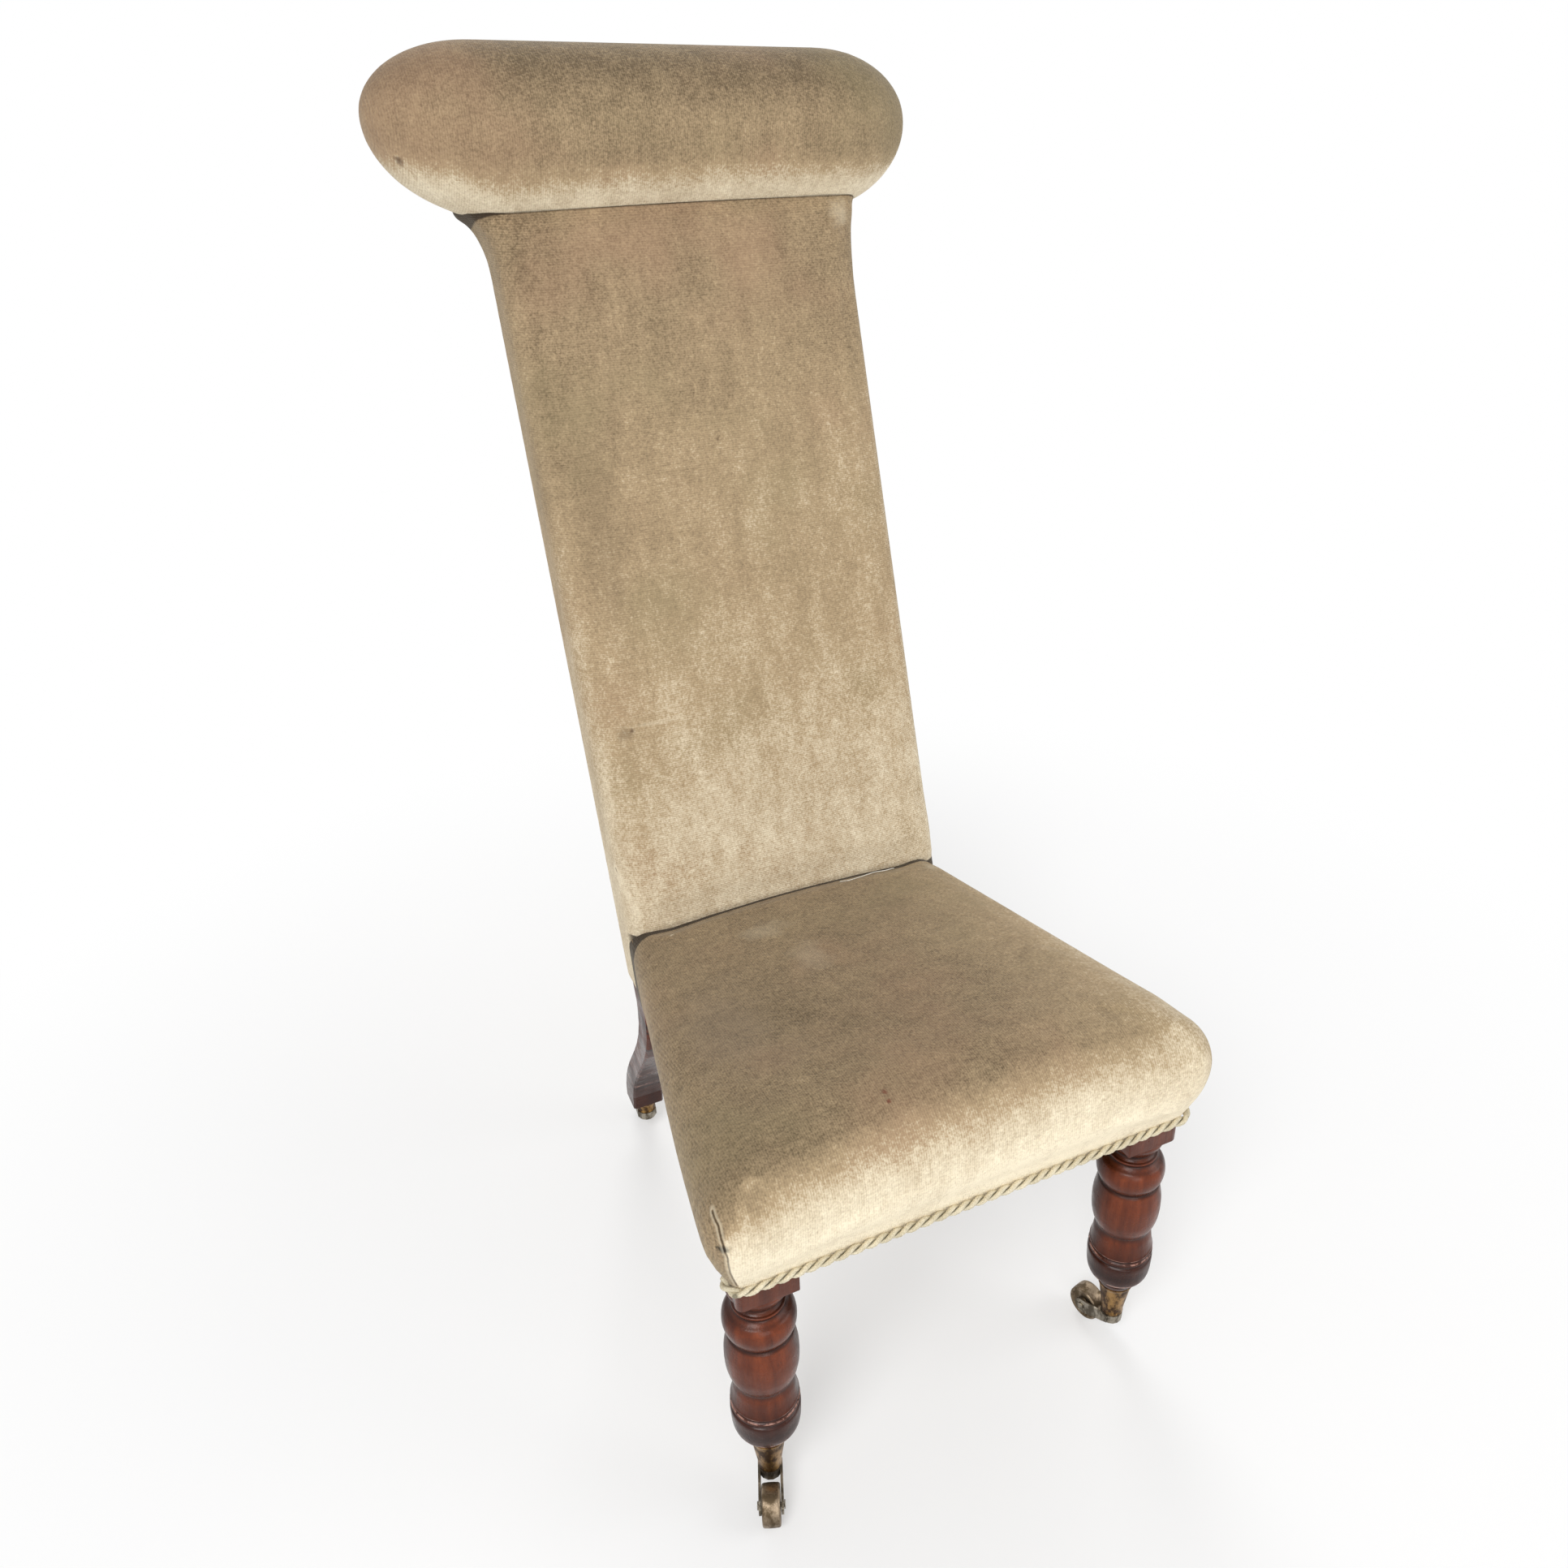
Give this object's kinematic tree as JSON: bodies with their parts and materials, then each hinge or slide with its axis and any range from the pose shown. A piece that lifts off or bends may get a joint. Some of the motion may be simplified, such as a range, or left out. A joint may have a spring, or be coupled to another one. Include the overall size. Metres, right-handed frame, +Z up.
{
  "type": "prayer chair",
  "caption": "Low prayer chair with a tall raked back under a padded roll, a stuffed velvet seat, turned front legs, swept rear legs and swivelling brass castors.",
  "frame": {"origin": "on the floor, below the middle of the chair's width and depth", "axes": "+Z up, +X to the right as seen from in front, and the front faces -Y"},
  "size_m": [0.4626, 0.651, 1.0215],
  "materials": {
    "mahogany": "polished",
    "frame_wood": "sawn",
    "velvet": "worn pile",
    "braid": "twisted cord",
    "stuffing": "horsehair",
    "hessian": "woven",
    "webbing": "woven",
    "spring_steel": "coppered wire",
    "brass": "aged",
    "bronze": "dull"
  },
  "bodies": {
    "chair": {"front_left_leg": "mahogany", "front_right_leg": "mahogany", "left_rear_post": "mahogany", "right_rear_post": "mahogany", "front_rail": "frame_wood", "rear_rail": "frame_wood", "left_side_rail": "frame_wood", "right_side_rail": "frame_wood", "back_bottom_rail": "frame_wood", "roll_cross_rail": "frame_wood", "front_left_brace": "frame_wood", "front_right_brace": "frame_wood", "rear_left_brace": "frame_wood", "rear_right_brace": "frame_wood", "seat_cover": "velvet", "back_cover": "velvet", "outside_back_cover": "velvet", "roll_cover": "velvet", "seat_braid": "braid", "seat_stuffing": "stuffing", "back_stuffing": "stuffing", "roll_stuffing": "stuffing", "seat_hessian": "hessian", "back_hessian": "hessian", "seat_web_long_1": "webbing", "seat_web_long_2": "webbing", "seat_web_long_3": "webbing", "seat_web_cross_1": "webbing", "seat_web_cross_2": "webbing", "seat_web_cross_3": "webbing", "back_web_cross_1": "webbing", "back_web_cross_2": "webbing", "back_web_cross_3": "webbing", "back_web_long_1": "webbing", "back_web_long_2": "webbing", "seat_spring_1": "spring_steel", "seat_spring_2": "spring_steel", "seat_spring_3": "spring_steel", "seat_spring_4": "spring_steel", "seat_spring_5": "spring_steel", "front_left_castor_socket": "brass", "front_right_castor_socket": "brass", "rear_left_castor_socket": "brass", "rear_right_castor_socket": "brass"},
    "front_left_horn": {"front_left_castor_fork": "bronze", "front_left_castor_axle": "brass"},
    "front_left_roller": {"front_left_castor_wheel": "brass"},
    "front_right_horn": {"front_right_castor_fork": "bronze", "front_right_castor_axle": "brass"},
    "front_right_roller": {"front_right_castor_wheel": "brass"},
    "rear_left_horn": {"rear_left_castor_fork": "bronze", "rear_left_castor_axle": "brass"},
    "rear_left_roller": {"rear_left_castor_wheel": "brass"},
    "rear_right_horn": {"rear_right_castor_fork": "bronze", "rear_right_castor_axle": "brass"},
    "rear_right_roller": {"rear_right_castor_wheel": "brass"}
  },
  "joints": [
    {"name": "front_left_swivel", "type": "hinge", "parent": "chair", "child": "front_left_horn", "pos_m": [-0.165, -0.28452, 0.0305], "axis": [0, 0, 1], "continuous": true},
    {"name": "front_left_roll", "type": "hinge", "parent": "front_left_horn", "child": "front_left_roller", "pos_m": [-0.1746, -0.30889, 0.0158], "axis": [0.9304, -0.3665, 0], "continuous": true},
    {"name": "front_right_swivel", "type": "hinge", "parent": "chair", "child": "front_right_horn", "pos_m": [0.165, -0.28452, 0.0305], "axis": [0, 0, 1], "continuous": true},
    {"name": "front_right_roll", "type": "hinge", "parent": "front_right_horn", "child": "front_right_roller", "pos_m": [0.15897, -0.25902, 0.0158], "axis": [-0.9732, -0.23, 0], "continuous": true},
    {"name": "rear_left_swivel", "type": "hinge", "parent": "chair", "child": "rear_left_horn", "pos_m": [-0.134, 0.14198, 0.0305], "axis": [0, 0, 1], "continuous": true},
    {"name": "rear_left_roll", "type": "hinge", "parent": "rear_left_horn", "child": "rear_left_roller", "pos_m": [-0.13035, 0.16793, 0.0158], "axis": [-0.9903, 0.1392, 0], "continuous": true},
    {"name": "rear_right_swivel", "type": "hinge", "parent": "chair", "child": "rear_right_horn", "pos_m": [0.134, 0.14198, 0.0305], "axis": [0, 0, 1], "continuous": true},
    {"name": "rear_right_roll", "type": "hinge", "parent": "rear_right_horn", "child": "rear_right_roller", "pos_m": [0.13035, 0.16793, 0.0158], "axis": [-0.9903, -0.1392, 0], "continuous": true}
  ]
}
